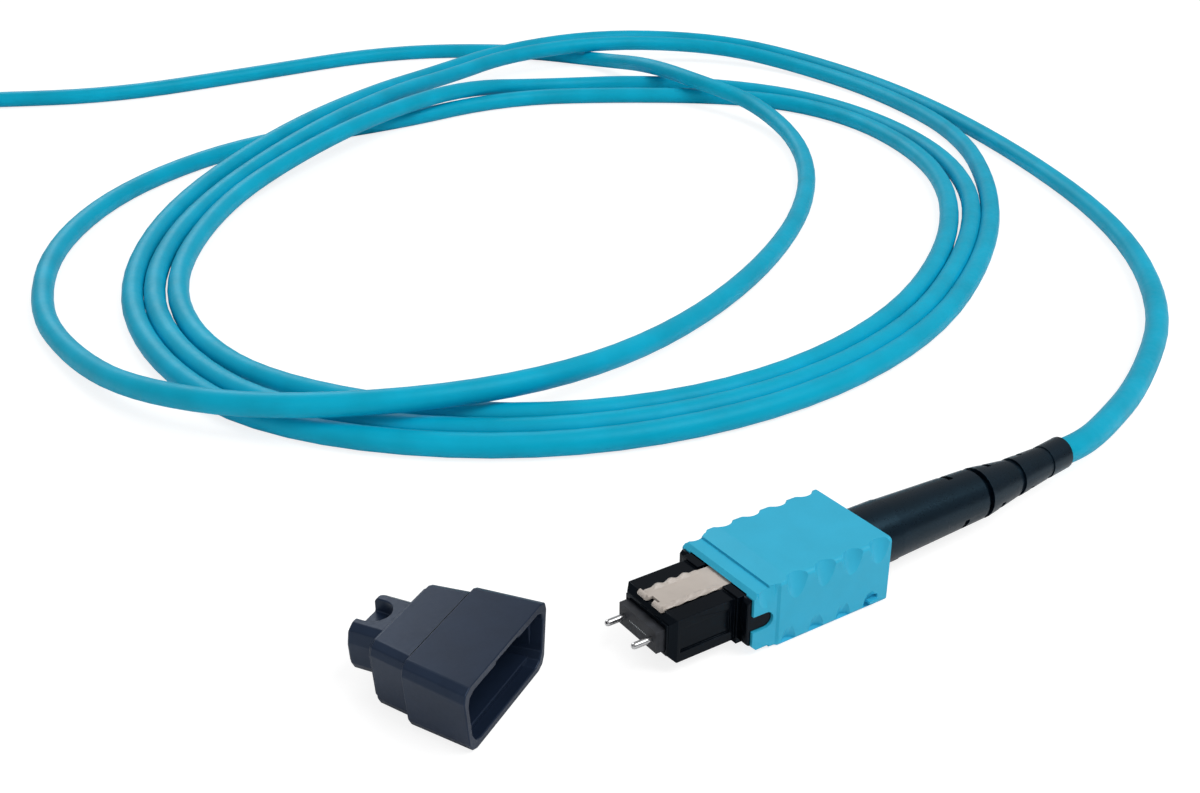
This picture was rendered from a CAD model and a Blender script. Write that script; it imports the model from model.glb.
import math

import bmesh
import bpy
from mathutils import Matrix, Vector


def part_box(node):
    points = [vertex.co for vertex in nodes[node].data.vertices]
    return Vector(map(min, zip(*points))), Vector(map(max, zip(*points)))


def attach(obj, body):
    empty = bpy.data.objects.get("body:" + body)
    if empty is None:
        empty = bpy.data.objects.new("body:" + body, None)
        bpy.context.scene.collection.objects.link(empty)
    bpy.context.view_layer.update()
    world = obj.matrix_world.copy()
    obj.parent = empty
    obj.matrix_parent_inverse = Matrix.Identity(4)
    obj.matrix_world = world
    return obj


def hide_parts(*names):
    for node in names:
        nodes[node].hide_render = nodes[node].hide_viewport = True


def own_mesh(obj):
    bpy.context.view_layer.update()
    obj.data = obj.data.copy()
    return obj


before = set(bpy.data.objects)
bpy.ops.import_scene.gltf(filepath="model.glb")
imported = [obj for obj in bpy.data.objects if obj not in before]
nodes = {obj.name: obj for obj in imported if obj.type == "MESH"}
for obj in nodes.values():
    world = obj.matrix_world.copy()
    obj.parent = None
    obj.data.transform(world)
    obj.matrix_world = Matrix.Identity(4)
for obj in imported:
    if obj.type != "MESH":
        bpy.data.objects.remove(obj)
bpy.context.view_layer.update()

scene = bpy.context.scene
mm = 0.001

studio = {
    "floorHeight": -3.95 * mm,
    "floorPlace": (0, -0.1),
    "floorSize": 6.0,
    "floorCells": 8,
    "floorColour": (0.86, 0.86, 0.86),
    "floorGlow": 1.32,
    "floorShare": 0.62,
    "skyTop": (1.0, 1.0, 1.0),
    "skySide": (0.62, 0.64, 0.67),
    "skyTopFrom": 0.7,
    "skyStrength": 0.40,
    "backdrop": 1.0,
    "lamps": [  # name, place, aim, size, watts
        ("keyLamp", (-0.25, 0.35, 0.65), (-0.03, -0.05, 0.0), 0.45, 3.2),
        ("fillLamp", (0.60, 0.30, 0.40), (0.0, -0.05, 0.0), 0.5, 0.7),
        ("rimLamp", (-0.15, -0.75, 0.45), (0.0, -0.05, 0.0), 0.4, 1.3),
    ],
}
camera = {
    "place": (70.6 * mm, 99.3 * mm, 87.3 * mm),
    "direction": (-0.4945, -0.7426, -0.4509),
    "lens": 44.67,
    "sensor": 36.0,
    "nearest": 0.005,
    "farthest": 20,
}


def emptyTree(owner):
    owner.use_nodes = True
    owner.node_tree.nodes.clear()
    return owner.node_tree


def placeLooking(data, name, place, direction):
    thing = bpy.data.objects.new(name, data)
    scene.collection.objects.link(thing)
    thing.location = place
    thing.rotation_mode = "QUATERNION"
    thing.rotation_quaternion = Vector(direction).to_track_quat("-Z", "Y")
    return thing


def makeFloor():
    cells = studio["floorCells"]
    bpy.ops.mesh.primitive_grid_add(x_subdivisions=cells, y_subdivisions=cells, size=studio["floorSize"],
                                    location=(*studio["floorPlace"], studio["floorHeight"]))
    floor = bpy.context.object
    floor.name = "studio_floor"
    material = bpy.data.materials.new("floorPale")
    tree = emptyTree(material)
    new, link = tree.nodes.new, tree.links.new
    output = new("ShaderNodeOutputMaterial")
    paper = new("ShaderNodeBsdfDiffuse")
    paper.inputs["Color"].default_value = (*studio["floorColour"], 1)
    white = new("ShaderNodeEmission")
    white.inputs["Strength"].default_value = studio["floorGlow"]
    path = new("ShaderNodeLightPath")
    share = new("ShaderNodeMath")
    share.operation = "MULTIPLY"
    share.inputs[1].default_value = studio["floorShare"]
    mix = new("ShaderNodeMixShader")
    link(path.outputs["Is Camera Ray"], share.inputs[0])
    link(share.outputs[0], mix.inputs[0])
    link(paper.outputs[0], mix.inputs[1])
    link(white.outputs[0], mix.inputs[2])
    link(mix.outputs[0], output.inputs["Surface"])
    floor.data.materials.append(material)


def makeSky():
    world = bpy.data.worlds.new("studioSky")
    scene.world = world
    tree = emptyTree(world)
    new, link = tree.nodes.new, tree.links.new
    output = new("ShaderNodeOutputWorld")
    place = new("ShaderNodeTexCoord")
    split = new("ShaderNodeSeparateXYZ")
    ramp = new("ShaderNodeValToRGB")
    side, top = ramp.color_ramp.elements
    side.position = 0.0
    side.color = (*studio["skySide"], 1)
    top.position = studio["skyTopFrom"]
    top.color = (*studio["skyTop"], 1)
    glow = new("ShaderNodeBackground")
    glow.inputs["Strength"].default_value = studio["skyStrength"]
    plain = new("ShaderNodeBackground")
    plain.inputs["Strength"].default_value = studio["backdrop"]
    path = new("ShaderNodeLightPath")
    mix = new("ShaderNodeMixShader")
    link(place.outputs["Generated"], split.inputs[0])
    link(split.outputs["Z"], ramp.inputs[0])
    link(ramp.outputs[0], glow.inputs["Color"])
    link(path.outputs["Is Camera Ray"], mix.inputs[0])
    link(glow.outputs[0], mix.inputs[1])
    link(plain.outputs[0], mix.inputs[2])
    link(mix.outputs[0], output.inputs["Surface"])


def makeLamps():
    for name, place, aim, size, watts in studio["lamps"]:
        data = bpy.data.lights.new(name, "AREA")
        data.size = size
        data.energy = watts
        placeLooking(data, name, place, Vector(aim) - Vector(place))


def makeCamera():
    data = bpy.data.cameras.new("viewCamera")
    data.lens = camera["lens"]
    data.sensor_width = camera["sensor"]
    data.clip_start = camera["nearest"]
    data.clip_end = camera["farthest"]
    scene.camera = placeLooking(data, "viewCamera", camera["place"], camera["direction"])


scene.view_settings.view_transform = "Standard"
makeFloor()
makeSky()
makeLamps()
makeCamera()
print("studio ready")

finishes = {  # colour, roughness, reflection and its tint, grain size and depth in mm, colour change
    "sleeveAqua": {"colour": (0.034, 0.465, 0.70), "rough": 0.36, "specular": 0.40,
                   "sheen": (0.6, 0.95, 1.0), "grain": 0.35, "depth": 0.003, "change": 0.03},
    "housingBlack": {"colour": (0.001, 0.002, 0.004), "rough": 0.20, "specular": 0.14,
                     "sheen": (0.6, 0.8, 1.0), "grain": 0.5, "depth": 0.0008, "change": 0.2},
    "clipGrey": {"colour": (0.55, 0.49, 0.44), "rough": 0.38, "specular": 0.5,
                 "grain": 0.4, "depth": 0.004, "change": 0.08},
    "ferruleSlate": {"colour": (0.020, 0.023, 0.030), "rough": 0.5, "specular": 0.4,
                     "grain": 0.12, "depth": 0.004, "change": 0.4},
    "softBoot": {"colour": (0.015, 0.015, 0.017), "rough": 0.6, "specular": 0.3,
                 "grain": 0.4, "depth": 0.004, "change": 0.2},
    "ribbonClear": {"colour": (0.25, 0.60, 0.66), "rough": 0.35, "specular": 0.5,
                    "grain": 0.3, "depth": 0.002, "change": 0.1},
    "yarnYellow": {"colour": (0.72, 0.46, 0.06), "rough": 0.7, "specular": 0.3,
                   "grain": 0.15, "depth": 0.03, "change": 0.3},
    "bootBlack": {"colour": (0.001, 0.003, 0.007), "rough": 0.30, "specular": 0.46,
                  "sheen": (0.30, 0.70, 1.0), "grain": 0.3, "depth": 0.006, "change": 0.25},
    "capSlate": {"colour": (0.010, 0.018, 0.038), "rough": 0.36, "specular": 0.40,
                 "sheen": (0.55, 0.72, 1.0), "grain": 0.4, "depth": 0.004, "change": 0.12},
    "tieBlack": {"colour": (0.012, 0.012, 0.014), "rough": 0.85, "specular": 0.2,
                 "grain": 0.12, "depth": 0.05, "change": 0.5},
    "cableAqua": {"colour": (0.0, 0.42, 0.63), "rough": 0.45, "specular": 0.30,
                  "sheen": (0.35, 0.9, 1.0), "grain": 0.9, "depth": 0.010, "change": 0.10},
    "glassFibre": {"colour": (0.55, 0.60, 0.62), "rough": 0.15, "specular": 0.5,
                   "grain": 0.05, "depth": 0.001, "change": 0.05},
    "pinSteel": {"colour": (0.62, 0.62, 0.63), "rough": 0.16, "specular": 0.5, "metal": 1.0,
                 "grain": 0.2, "depth": 0.001, "change": 0.05},
    "clampSteel": {"colour": (0.42, 0.42, 0.43), "rough": 0.34, "specular": 0.5, "metal": 1.0,
                   "grain": 0.2, "depth": 0.002, "change": 0.1},
    "springSteel": {"colour": (0.50, 0.49, 0.48), "rough": 0.26, "specular": 0.5, "metal": 1.0,
                    "grain": 0.2, "depth": 0.002, "change": 0.1},
    "crimpMetal": {"colour": (0.60, 0.55, 0.47), "rough": 0.32, "specular": 0.5, "metal": 1.0,
                   "grain": 0.2, "depth": 0.003, "change": 0.1},
}
variation = {  # how the noise turns into colour, gloss and bumps on every finish
    "broadScale": 9, "broadDetail": 3, "fineDetail": 4, "from": 0.3, "to": 0.7,
    "leastRough": 0.88, "mostRough": 1.14, "bump": 0.5,
}
madeFinishes = {}


def finish(name):
    if name in madeFinishes:
        return madeFinishes[name]
    look = finishes[name]
    material = bpy.data.materials.new(name)
    material.use_nodes = True
    tree = material.node_tree
    new, link = tree.nodes.new, tree.links.new
    shader = tree.nodes["Principled BSDF"]
    shader.inputs["Metallic"].default_value = look.get("metal", 0.0)
    shader.inputs["Specular IOR Level"].default_value = look["specular"]
    shader.inputs["Specular Tint"].default_value = (*look.get("sheen", (1, 1, 1)), 1)
    place = new("ShaderNodeTexCoord")
    broad = new("ShaderNodeTexNoise")
    broad.inputs["Scale"].default_value = 1 / (look["grain"] * mm * variation["broadScale"])
    broad.inputs["Detail"].default_value = variation["broadDetail"]
    fine = new("ShaderNodeTexNoise")
    fine.inputs["Scale"].default_value = 1 / (look["grain"] * mm)
    fine.inputs["Detail"].default_value = variation["fineDetail"]
    link(place.outputs["Object"], broad.inputs["Vector"])
    link(place.outputs["Object"], fine.inputs["Vector"])
    tone = new("ShaderNodeValToRGB")  # the colour drifts a little over the piece
    dark, light = tone.color_ramp.elements
    dark.position = variation["from"]
    dark.color = (*[c * (1 - look["change"]) for c in look["colour"]], 1)
    light.position = variation["to"]
    light.color = (*[min(1, c * (1 + look["change"])) for c in look["colour"]], 1)
    link(broad.outputs["Fac"], tone.inputs[0])
    link(tone.outputs[0], shader.inputs["Base Color"])
    gloss = new("ShaderNodeMapRange")
    gloss.inputs["From Min"].default_value = variation["from"]
    gloss.inputs["From Max"].default_value = variation["to"]
    gloss.inputs["To Min"].default_value = look["rough"] * variation["leastRough"]
    gloss.inputs["To Max"].default_value = min(1, look["rough"] * variation["mostRough"])
    link(fine.outputs["Fac"], gloss.inputs["Value"])
    link(gloss.outputs[0], shader.inputs["Roughness"])
    bump = new("ShaderNodeBump")
    bump.inputs["Strength"].default_value = variation["bump"]
    bump.inputs["Distance"].default_value = look["depth"] * mm
    link(fine.outputs["Fac"], bump.inputs["Height"])
    link(bump.outputs[0], shader.inputs["Normal"])
    madeFinishes[name] = material
    return material


def newObject(mesh, name, look):
    data = bpy.data.meshes.new(name)
    mesh.to_mesh(data)
    mesh.free()
    data.materials.append(finish(look))
    piece = bpy.data.objects.new(name, data)
    scene.collection.objects.link(piece)
    return piece


def softEdge(piece, width, steps, angle):
    bevel = piece.modifiers.new("softEdge", "BEVEL")
    bevel.width = width * mm
    bevel.segments = steps
    bevel.limit_method = "ANGLE"
    bevel.angle_limit = math.radians(angle)
    return bevel


def smoothBelow(piece, angle):
    piece.data.shade_smooth()
    piece.data.set_sharp_from_angle(angle=math.radians(angle))


def between(stations, place):  # the values at a place in a list of stations, or None outside it
    for (fromPlace, *first), (toPlace, *second) in zip(stations, stations[1:]):
        if fromPlace <= place < toPlace:
            share = (place - fromPlace) / (toPlace - fromPlace)
            return [a + (b - a) * share for a, b in zip(first, second)]


def shareOf(number):
    return min(1, max(0, number))


def bridge(mesh, here, there):
    for k in range(len(here)):
        n = (k + 1) % len(here)
        mesh.faces.new((here[k], here[n], there[n], there[k]))


capRise = {  # the cap's upper half rises over its length, in mm
    "place": (14.6, -0.5), "yaw": -58.2, "middle": -0.175, "fullHeight": 2.0,
    "stations": [(0, 0), (7.1, 0.38), (20, 0.85)],  # distance from the mouth, rise
    "tailStart": 11.6, "tailHalf": 3.75, "tailTop": 2.2, "tailRise": 1.25,
}


def raiseCap(mesh):
    yaw = math.radians(capRise["yaw"])
    for vert in mesh.verts:
        x = vert.co.x / mm - capRise["place"][0]
        y = vert.co.y / mm - capRise["place"][1]
        along = x * math.cos(yaw) + y * math.sin(yaw)
        sideways = y * math.cos(yaw) - x * math.sin(yaw)
        height = vert.co.z / mm
        onTail = (along > capRise["tailStart"] and abs(sideways) < capRise["tailHalf"]
                  and height < capRise["tailTop"])
        rise = capRise["tailRise"] if onTail else (between(capRise["stations"], along) or [0])[0]
        vert.co.z += rise * shareOf((height - capRise["middle"]) / capRise["fullHeight"]) * mm


sideStep = {  # the sleeve is narrower round its release notches than behind them, in mm
    "from": -12.9, "to": -13.15, "beyond": 5.85, "inward": 0.22, "slack": 0.01,
    "weld": 0.0001,
}


def stepSides(mesh):
    for x in (sideStep["from"], sideStep["to"]):
        bmesh.ops.bisect_plane(mesh, geom=mesh.verts[:] + mesh.edges[:] + mesh.faces[:],
                               dist=sideStep["weld"] * mm, plane_co=(x * mm, 0, 0), plane_no=(1, 0, 0))
    for vert in mesh.verts:
        out = abs(vert.co.y / mm)
        if vert.co.x / mm > sideStep["from"] - sideStep["slack"] and out > sideStep["beyond"]:
            vert.co.y *= (out - sideStep["inward"]) / out


moulding = {"weld": 0.0005, "flatAngle": 0.6, "leastSharp": 24, "flatWeight": 90}  # mm and degrees
mouldings = [  # node, piece, body, finish, slot, edge in mm, steps, angle
    ("coupling_sleeve", "sleeve_shell", "sleeve", "sleeveAqua", "sleeve_aqua", 0.20, 3, 24),
    ("inner_housing", "housing_shell", "housing", "housingBlack", "housing_black", 0.10, 3, 30),
    ("ferrule", "ferrule_block", "ferrule_group", "ferruleSlate", "ferrule_slate", 0.05, 2, 30),
    ("strain_boot", "boot_moulding", "housing", "bootBlack", "boot_black", 0.12, 3, 30),
    ("dust_cap", "cap_moulding", "housing", "capSlate", "cap_slate", 0.30, 3, 16),
    ("coupling_sleeve_far", "sleeve_shell_far", "sleeve_far", "sleeveAqua", "sleeve_aqua", 0.20, 3, 24),
    ("inner_housing_far", "housing_shell_far", "housing", "housingBlack", "housing_black", 0.10, 2, 30),
    ("strain_boot_far", "boot_moulding_far", "housing", "bootBlack", "boot_black", 0.12, 2, 30),
    ("dust_cap_far", "cap_moulding_far", "housing", "capSlate", "cap_slate", 0.30, 3, 16),
]
reshaped = {"dust_cap": raiseCap, "coupling_sleeve": stepSides}
plainFinishes = {  # the solids that keep their own shape
    "guide_pin_left": "pinSteel", "guide_pin_right": "pinSteel", "pin_clamp": "clampSteel",
    "ferrule_boot": "softBoot", "fibre_ribbon": "ribbonClear", "spring_push": "housingBlack",
    "aramid_yarn": "yarnYellow", "crimp_ring": "crimpMetal", "jacket_end": "cableAqua",
    "coil_tie_left": "tieBlack", "coil_tie_right": "tieBlack", "spring_push_far": "housingBlack",
    "jacket_end_far": "cableAqua",
}


def moulded(node, name, body, look, slotName, edge, steps, angle):
    mesh = bmesh.new()
    mesh.from_mesh(nodes[node].data)
    bmesh.ops.remove_doubles(mesh, verts=mesh.verts, dist=moulding["weld"] * mm)
    bmesh.ops.dissolve_limit(mesh, angle_limit=math.radians(moulding["flatAngle"]),
                             verts=mesh.verts, edges=mesh.edges)
    if node in reshaped:
        reshaped[node](mesh)
    bmesh.ops.recalc_face_normals(mesh, faces=mesh.faces)
    piece = newObject(mesh, name, look)
    smoothBelow(piece, max(angle, moulding["leastSharp"]))
    softEdge(piece, edge, steps, angle).miter_outer = "MITER_ARC"
    even = piece.modifiers.new("evenShading", "WEIGHTED_NORMAL")  # flats stay flat beside rounds
    even.weight = moulding["flatWeight"]
    even.keep_sharp = True
    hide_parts(node)
    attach(piece, body)


for row in mouldings:
    moulded(*row)
for node, look in plainFinishes.items():
    slots = nodes[node].data.materials
    slots.clear()
    slots.append(finish(look))
print("moulded pieces ready")

clip = {  # a stamped spring sheet with a forked, curled front and waved flanges, in mm
    "front": -0.72, "length": 11.2, "halfWidth": 1.97, "top": 2.62, "thick": 0.36,
    "forkHalf": 0.62, "forkLength": 1.5,
    "curlLength": 1.2, "curlTurn": 150, "curlReach": 0.567, "curlRise": 0.2604, "curlDrop": 0.02,
    "flangeLength": 6.6, "waves": 4.0, "phase": 0.25, "rise": 0.42, "leastRise": 0.35,
    "crestIn": 0.28, "crestHalf": 0.275, "crestPower": 0.7, "bulge": 0.16,
    "fadeIn": 0.7, "fadePast": 1.4, "fadeOut": 0.8, "bow": 0.05, "bowLength": 9,
    "stepsAlong": 112, "stepsAcross": 24, "edge": 0.07, "edgeSteps": 2, "edgeAngle": 50,
}


def clipPoint(run, side):
    turns = run / clip["flangeLength"] * clip["waves"] + clip["phase"]
    wave = 0.5 + 0.5 * math.cos(2 * math.pi * turns)
    pastCurl = shareOf((run - clip["curlLength"]) / clip["fadeIn"])
    beforeEnd = shareOf((clip["flangeLength"] + clip["fadePast"] - run) / clip["fadeOut"])
    fade = pastCurl * beforeEnd
    across = side * clip["halfWidth"]
    if side < 0:  # this flange bulges with its waves
        across = side * (clip["halfWidth"] - clip["bulge"] + clip["bulge"] * wave * fade)
    inward = clip["halfWidth"] * (1 - abs(side))
    crest = shareOf(1 - abs(inward - clip["crestIn"]) / clip["crestHalf"]) ** clip["crestPower"]
    share = clip["leastRise"] + (1 - clip["leastRise"]) * wave
    x = clip["front"] - run
    z = clip["top"] - clip["thick"] / 2 + clip["rise"] * share * fade * crest
    z += clip["bow"] * math.sin(math.pi * min(1, run / clip["bowLength"]))
    if run < clip["curlLength"]:  # the two tips curl up and over
        turn = (clip["curlLength"] - run) / clip["curlLength"] * math.radians(clip["curlTurn"])
        x = clip["front"] - clip["curlLength"] + clip["curlReach"] * math.sin(turn)
        z += clip["curlRise"] * (1 - math.cos(turn)) - clip["curlDrop"]
    return x * mm, across * mm, z * mm


def keyClip():
    mesh = bmesh.new()
    along, across = clip["stepsAlong"], clip["stepsAcross"]
    grid = []
    for i in range(along + 1):
        run = clip["length"] * i / along
        grid.append([mesh.verts.new(clipPoint(run, -1 + 2 * j / across)) for j in range(across + 1)])
    for i in range(along):
        run = clip["length"] * (i + 0.5) / along
        for j in range(across):
            fromMiddle = clip["halfWidth"] * abs(-1 + 2 * (j + 0.5) / across)
            inFork = run < clip["forkLength"] and fromMiddle < clip["forkHalf"]
            if not inFork:
                mesh.faces.new((grid[i][j], grid[i][j + 1], grid[i + 1][j + 1], grid[i + 1][j]))
    loose = [v for v in mesh.verts if not v.link_faces]
    bmesh.ops.delete(mesh, geom=loose, context="VERTS")
    piece = newObject(mesh, "key_clip_sheet", "clipGrey")
    piece.data.shade_smooth()
    skin = piece.modifiers.new("thickness", "SOLIDIFY")
    skin.thickness = clip["thick"] * mm
    skin.offset = 0
    softEdge(piece, clip["edge"], clip["edgeSteps"], clip["edgeAngle"])
    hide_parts("key_clip")
    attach(piece, "housing")


fibres = {  # the ends of the fibres on the ferrule's face, in mm
    "count": 12, "pitch": 0.25, "sides": 12, "thick": 0.012,
    "discs": [(0.063, 0.006), (0.03, 0.009)],  # radius and place of the glass, then of its core
}


def fibreEnds():
    mesh = bmesh.new()
    turn = Matrix.Rotation(math.pi / 2, 4, "Y")
    for i in range(fibres["count"]):
        y = (i - (fibres["count"] - 1) / 2) * fibres["pitch"]
        for radius, proud in fibres["discs"]:
            bmesh.ops.create_cone(mesh, cap_ends=True, segments=fibres["sides"], radius1=radius * mm,
                                  radius2=radius * mm, depth=fibres["thick"] * mm,
                                  matrix=Matrix.Translation((proud * mm, y * mm, 0)) @ turn)
    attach(newObject(mesh, "fibre_ends", "glassFibre"), "ferrule_group")


keyClip()
fibreEnds()
print("clip and fibre ends ready")

small = {"angle": 35, "steps": 2}  # how the edges of the pieces below are softened


def addPiece(mesh, name, look, body, edge):
    bmesh.ops.recalc_face_normals(mesh, faces=mesh.faces)
    piece = newObject(mesh, name, look)
    smoothBelow(piece, small["angle"])
    if edge:
        softEdge(piece, edge, small["steps"], small["angle"])
    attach(piece, body)
    return piece


wings = {  # black cheeks on the housing's flange, with a lug in each release notch, in mm
    "inner": 4.55, "outer": 5.72, "front": -9.3, "back": -9.88, "halfHeight": 2.75, "corner": 0.35,
    "lugLow": -1.02, "lugHigh": 0.72, "lugCentre": -11.55, "lugSteps": 8, "edge": 0.10,
}


def flangeWings():
    low, high = wings["lugLow"], wings["lugHigh"]
    tall, corner = wings["halfHeight"], wings["corner"]
    front, back = wings["front"], wings["back"]
    radius = (high - low) / 2
    profile = [(front - corner, tall), (front, tall - corner), (front, corner - tall),
               (front - corner, -tall), (back, -tall), (back, low)]
    for i in range(wings["lugSteps"] + 1):
        angle = -math.pi / 2 - math.pi * i / wings["lugSteps"]
        profile.append((wings["lugCentre"] + radius * math.cos(angle),
                        (low + high) / 2 + radius * math.sin(angle)))
    profile += [(back, high), (back, tall)]
    mesh = bmesh.new()
    for sign in (1, -1):
        rows = []
        for y in (wings["inner"], wings["outer"]):
            rows.append([mesh.verts.new((x * mm, y * sign * mm, z * mm)) for x, z in profile])
        mesh.faces.new(rows[0])
        mesh.faces.new(rows[1][::-1])
        bridge(mesh, rows[1], rows[0])
    addPiece(mesh, "flange_wings", "housingBlack", "housing", wings["edge"])


capStep = {  # the ledge inside the cap's mouth, in mm, in the cap's own frame
    "front": 1.3, "back": 4.85, "width": 14.9, "widthBack": 14.0, "height": 5.9, "wall": 0.5,
    "corner": 0.8, "innerCorner": 0.5, "cornerSteps": 4, "place": (14.6, -0.5, -0.175),
    "yaw": -58.2, "edge": 0.07,
}


def roundedLoop(width, height, corner):
    steps = capStep["cornerSteps"]
    points = []
    for turn, (side, up) in enumerate([(1, 1), (-1, 1), (-1, -1), (1, -1)]):
        for i in range(steps + 1):
            angle = math.radians(90 * (turn + i / steps))
            points.append((side * (width / 2 - corner) + corner * math.cos(angle),
                           up * (height / 2 - corner) + corner * math.sin(angle)))
    return points


def capLedge():
    mesh = bmesh.new()
    loops = []
    for x, width, inside in [(capStep["front"], capStep["width"], False),
                             (capStep["front"], capStep["width"], True),
                             (capStep["back"], capStep["widthBack"], True),
                             (capStep["back"], capStep["widthBack"], False)]:
        less = capStep["wall"] * 2 if inside else 0
        corner = capStep["innerCorner"] if inside else capStep["corner"]
        loop = roundedLoop(width - less, capStep["height"] - less, corner)
        loops.append([mesh.verts.new((x * mm, y * mm, z * mm)) for y, z in loop])
    for here, there in zip(loops, loops[1:] + loops[:1]):
        bridge(mesh, here, there)
    turn = Matrix.Rotation(math.radians(capStep["yaw"]), 4, "Z")
    shift = Matrix.Translation([c * mm for c in capStep["place"]])
    bmesh.ops.transform(mesh, matrix=shift @ turn, verts=mesh.verts)
    addPiece(mesh, "cap_ledge", "capSlate", "housing", capStep["edge"])


coil = {"perTurn": 28, "sides": 8, "closedTurns": 0.8}
springs = [  # node, piece, place across, width, height, wire in mm, turns, joint, share kept
    ("main_spring", "main_spring_coil", 0, 6.4, 3.0, 0.4, 5, "ferrule_float", 0.909),
    ("coupling_spring_left", "return_coil_left", 4.9, 1.3, 1.3, 0.26, 6, "sleeve_slide", 0.759),
    ("coupling_spring_right", "return_coil_right", -4.9, 1.3, 1.3, 0.26, 6, "sleeve_slide", 0.759),
]


def coilSpring(node, name, side, width, height, wire, turns, joint, keep):
    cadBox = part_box(node)
    front, back = cadBox[1][0] / mm, cadBox[0][0] / mm
    perTurn, sides, radius = coil["perTurn"], coil["sides"], wire / 2
    ring, reach = height / 2 - radius, (width - height) / 2
    steps = perTurn * turns
    ends = perTurn * coil["closedTurns"]
    spread = front - back - wire * (1 + 2 * coil["closedTurns"])
    forward = Vector((1, 0, 0))
    mesh = bmesh.new()
    loops = []
    for i in range(steps + 1):
        angle = 2 * math.pi * i / perTurn
        closed = min(i, ends) + max(0, i - steps + ends)
        along = closed / perTurn * wire + shareOf((i - ends) / (steps - ends * 2)) * spread
        out = Vector((0, math.cos(angle), math.sin(angle)))
        shift = reach if out.y > 0 else -reach
        middle = Vector((front - radius - along, side + shift, 0)) + out * ring
        loop = []
        for k in range(sides):
            around = 2 * math.pi * k / sides
            point = middle + radius * (math.cos(around) * out + math.sin(around) * forward)
            loop.append(mesh.verts.new(point * mm))
        loops.append(loop)
    for here, there in zip(loops, loops[1:]):
        bridge(mesh, here, there)
    mesh.faces.new(loops[0][::-1])
    mesh.faces.new(loops[-1])
    piece = addPiece(mesh, name, "springSteel", "housing", 0)
    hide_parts(node)
    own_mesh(piece)


flangeWings()
capLedge()
for row in springs:
    coilSpring(*row)
print("wings, ledge and springs ready")

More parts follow.
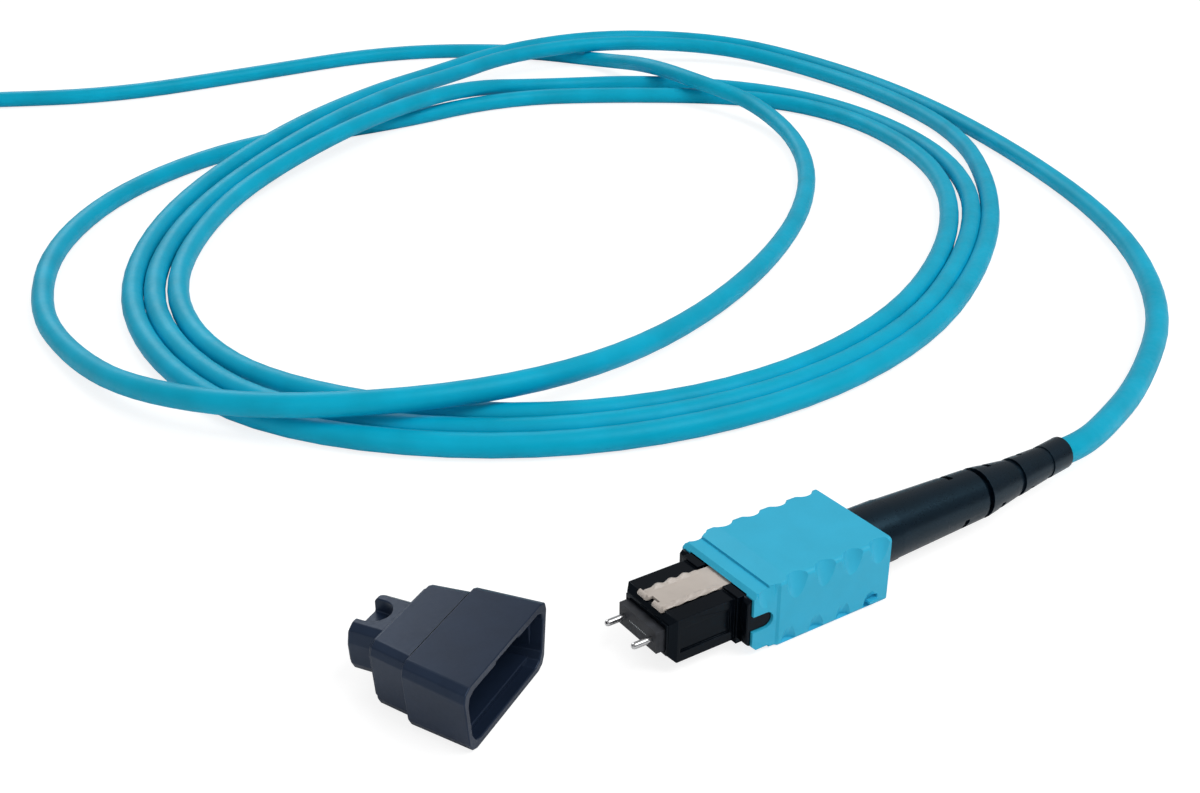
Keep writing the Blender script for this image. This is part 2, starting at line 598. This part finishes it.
low = 1.65 / math.cos(math.radians(15))  # the cord's middle where it lies on the floor, in mm
middle = 3.8
high = 5.4
outer, inner = 21.5, 18.1  # the stowed coil's two rings
below, above = 2.25, 5.65  # and its two layers
cable = {
    "diameter": 3.3,
    "length": 2.87,
    "route": [  # across, along, height over the floor, in mm
        (-63.1, -1.1, 3.95), (-66, -1, 3.9), (-73, -3, 3.4), (-90.5, -10.5, 2.0),
        (-115, -25.5, low), (-138, -52.5, low), (-155, -90.5, low), (-166.5, -130.5, low),
        (-168, -166, 2.05), (-158.5, -191, middle), (-133, -205.5, high), (-105, -206, high),
        (-83, -199.5, 4.4), (-62, -189, high), (-34, -172, high), (-6, -153, 1.95),
        (13, -122, low), (18.5, -92, low), (13.5, -64.5, low), (-11, -40.5, low),
        (-43, -31.5, low), (-77, -37, low), (-108, -55, low), (-133, -77, low), (-155, -106, low),
        (-163.5, -139, low), (-163, -168, 1.95), (-154, -187, middle), (-130, -200, high),
        (-104, -201.5, high), (-86, -196, 4.4), (-68, -187.5, high), (-40, -170.5, high),
        (-9, -150, 1.95), (10, -120.5, low), (15, -92.5, low), (10, -67, low),
        (-12.5, -44.5, low), (-43, -35.1, low), (-76, -40, low), (-106, -57.5, low),
        (-130, -78.5, low), (-144, -103, low), (-148.5, -130.5, low), (-143.5, -154.5, low),
        (-125, -175.5, low), (-103, -184.5, 1.95), (-81, -182.5, high), (-56, -173.5, high),
        (-31.5, -161, middle), (-12, -147.5, low), (6.5, -119.5, low), (11.5, -92.5, low),
        (5.5, -71, low), (-14, -48.5, low), (-43, -38.5, low), (-75, -43.5, low),
        (-104, -60, low), (-127, -81.5, low), (-140, -104, low), (-145, -130, low),
        (-138, -151, low), (-116, -168.5, low), (-91, -182, low), (-60, -178, low),
        (-32, -181.5, low), (-3, -168.5, low), (17, -146, low), (27, -119.5, low),
        (27.5, -99.5, low), (24.5, -79.5, middle), (12, -60.5, 5.7), (-14, -49.5, 5.7),
        (-43, -56, 2.6), (-74, -71, low), (-102, -92, low), (-123, -118, low),
        (-130, -141.5, middle), (-126, -155.5, 5.7), (-125.5, -175, 5.7), (-128, -197, low),
        (-115, -218, low), (-88, -233.5, low), (-52, -232, low), (-20, -231.5, low),
        (5, -243, 1.8), (31, -255.5, 2.25),
    ],
    "coilCentre": (40, -236),
    "stations": [  # turns from the entry, radius, height
        (0.0, outer, below), (0.85, outer, below), (1.05, inner, below), (1.85, inner, below),
        (2.05, inner, above), (2.85, inner, above), (3.05, outer, above), (4.0, outer, above),
    ],
    "entryAngle": 245.3,
    "turns": 3.32,
    "pointsPerTurn": 14,
    "tail": [(61.5, -233, 5.6), (61.5, -226, 5.0), (61.5, -219, 4.0), (61.5, -215, 3.95)],
    "ringSteps": 6,
    "lengthSteps": 6,
}


def stowedTurns():
    centreX, centreY = cable["coilCentre"]
    perTurn = cable["pointsPerTurn"]
    reach = 1 / math.cos(math.pi / perTurn)  # the spline runs a little inside its points
    points = []
    for step in range(1, int(cable["turns"] * perTurn)):
        turned = step / perTurn
        radius, height = between(cable["stations"], turned)
        angle = math.radians(cable["entryAngle"]) + turned * 2 * math.pi
        points.append((centreX + radius * reach * math.cos(angle),
                       centreY + radius * reach * math.sin(angle), height))
    return points


def layCable():
    points = cable["route"] + stowedTurns() + cable["tail"]
    curve = bpy.data.curves.new("cable", "CURVE")
    curve.dimensions = "3D"
    curve.bevel_depth = cable["diameter"] / 2 * mm
    curve.bevel_resolution = cable["ringSteps"]
    curve.resolution_u = cable["lengthSteps"]
    curve.use_fill_caps = True
    spline = curve.splines.new("NURBS")
    spline.points.add(len(points) - 1)
    for point, (x, y, height) in zip(spline.points, points):
        point.co = (x * mm, y * mm, height * mm + studio["floorHeight"], 1)
    spline.order_u = 3
    spline.use_endpoint_u = True
    curve.materials.append(finish("cableAqua"))
    piece = bpy.data.objects.new("cable", curve)
    scene.collection.objects.link(piece)
    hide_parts("cable_lead", "cable_coil", "cable_tail", "cable_stowed_coil", "cable_far")
    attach(piece, "housing")
    return piece


cord = layCable()
print("cable laid")
